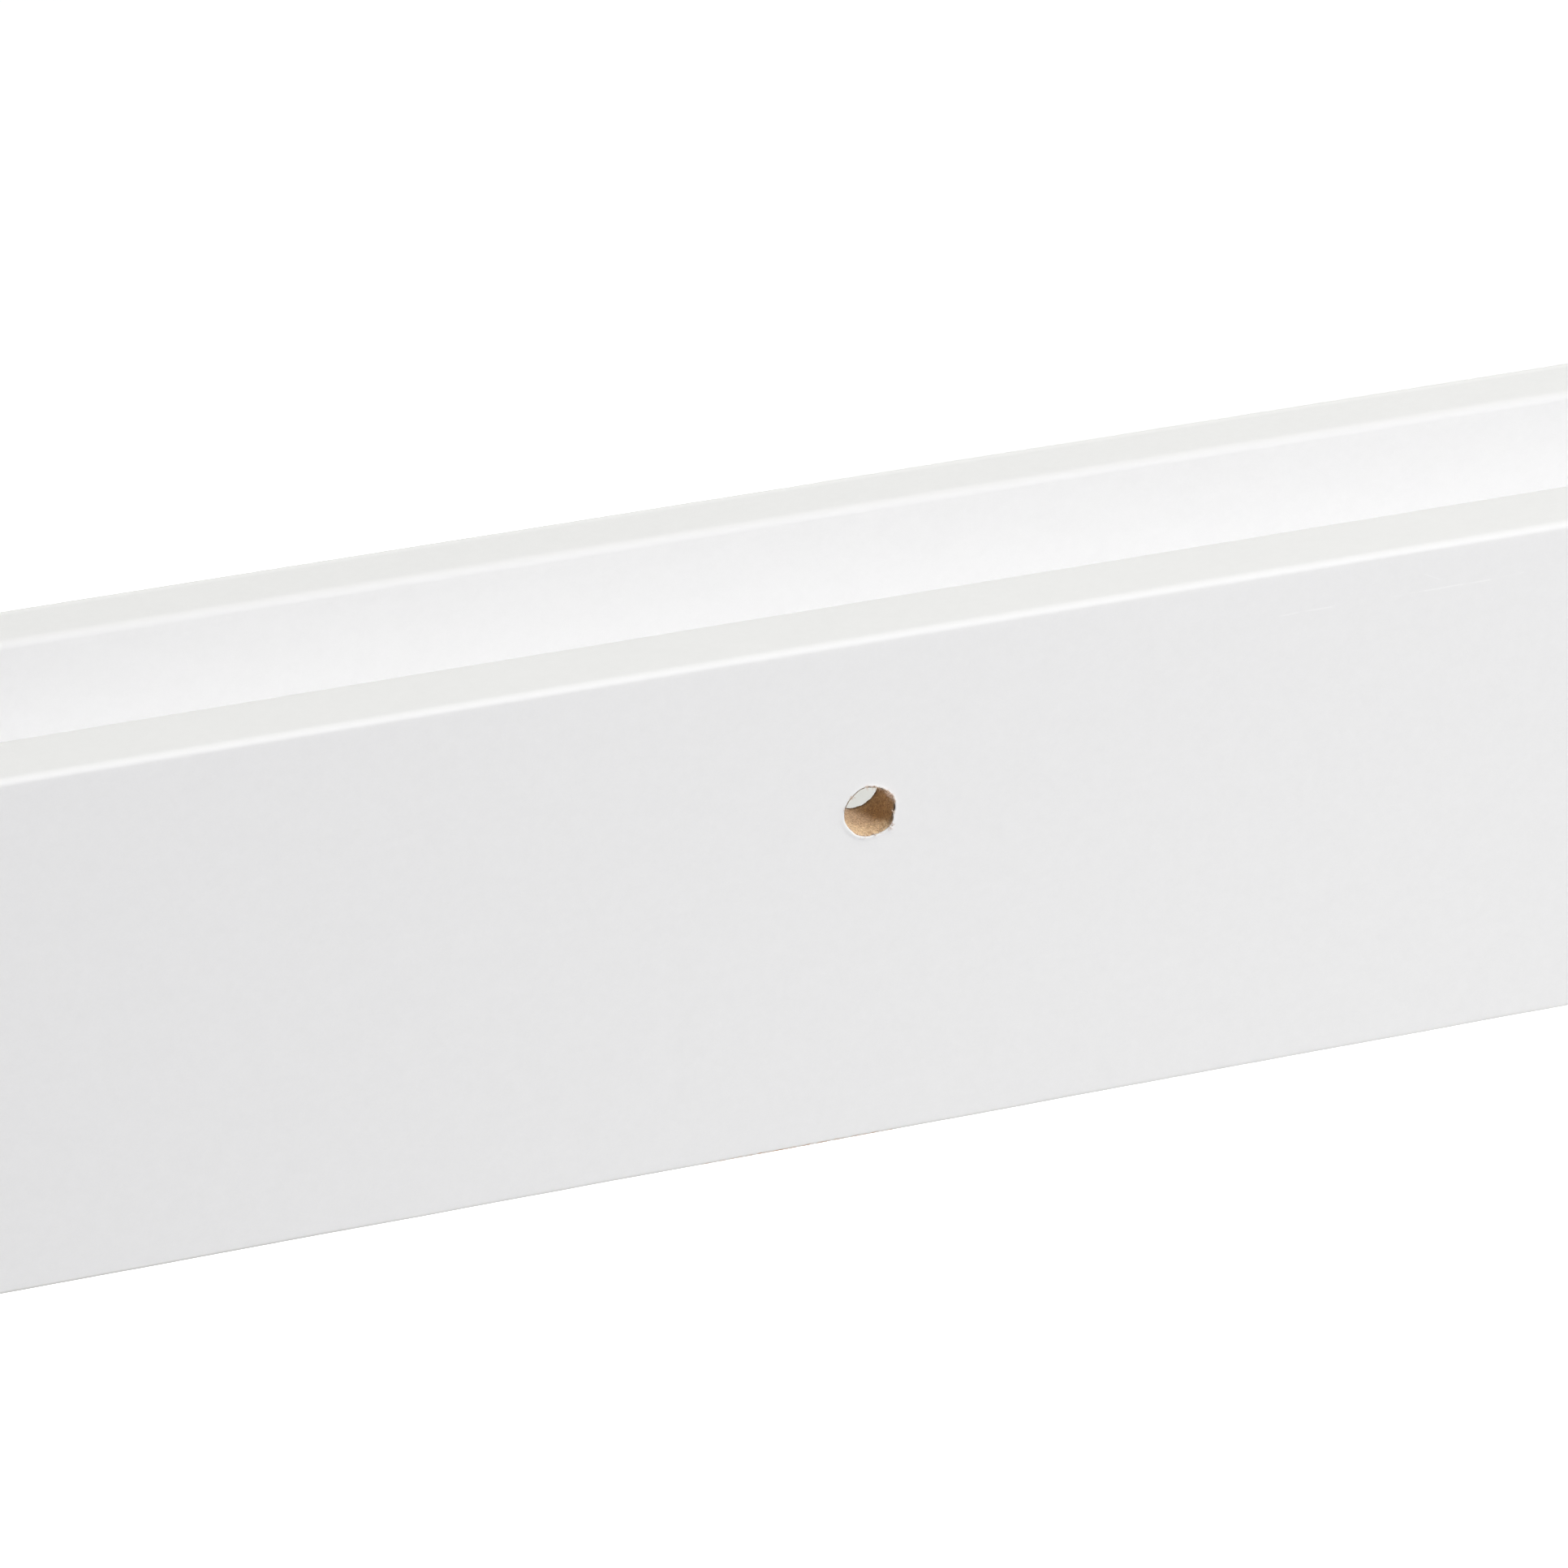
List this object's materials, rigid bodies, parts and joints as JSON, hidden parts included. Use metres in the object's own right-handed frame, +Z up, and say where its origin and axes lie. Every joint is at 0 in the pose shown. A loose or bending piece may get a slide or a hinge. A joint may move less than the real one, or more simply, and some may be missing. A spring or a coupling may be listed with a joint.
{
  "type": "picture ledge",
  "caption": "Narrow wall-mounted ledge with a raised back rail and a low front lip, foil-wrapped fibreboard joined on dowels, with countersunk screw holes.",
  "frame": {"origin": "middle of the underside: half way along the length and half way from the wall face to the front of the lip", "axes": "+X along the ledge, +Y towards the wall, +Z up"},
  "size_m": [0.55, 0.12, 0.07],
  "materials": {
    "fibreboard": "raw medium-density fibreboard",
    "white_foil": "matt white lacquered paper foil",
    "white_band": "matt white edge band",
    "dowel_wood": "turned beech"
  },
  "bodies": {
    "root": {"rail_core": "fibreboard", "rail_foil": "white_foil", "rail_bottom_band": "white_band", "rail_end_band_left": "white_band", "rail_end_band_right": "white_band", "rail_dowels": "dowel_wood", "base_core": "fibreboard", "base_top_foil": "white_foil", "base_bottom_foil": "white_foil", "base_end_band_left": "white_band", "base_end_band_right": "white_band", "lip_core": "fibreboard", "lip_foil": "white_foil", "lip_bottom_band": "white_band", "lip_end_band_left": "white_band", "lip_end_band_right": "white_band", "lip_dowels": "dowel_wood"}
  },
  "joints": []
}
